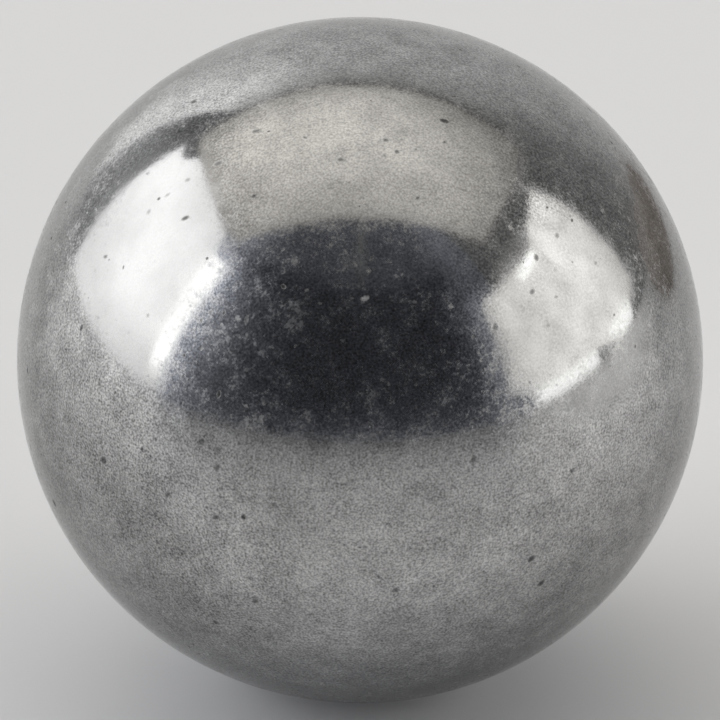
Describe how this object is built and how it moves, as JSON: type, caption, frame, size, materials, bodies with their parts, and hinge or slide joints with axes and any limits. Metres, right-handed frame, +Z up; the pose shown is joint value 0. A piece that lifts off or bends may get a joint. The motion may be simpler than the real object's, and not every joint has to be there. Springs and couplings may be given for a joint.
{
  "type": "steel ball",
  "caption": "Solid polished steel ball with fine surface pitting, for a ball race, ball valve, detent or weight.",
  "frame": {"origin": "centre of the ball", "axes": "+Z up; the ball is the same about every axis through its centre"},
  "size_m": [0.01, 0.01, 0.01],
  "materials": {
    "ball_steel": "polished steel, finely pitted"
  },
  "bodies": {
    "root": {"ball": "ball_steel"}
  },
  "joints": []
}
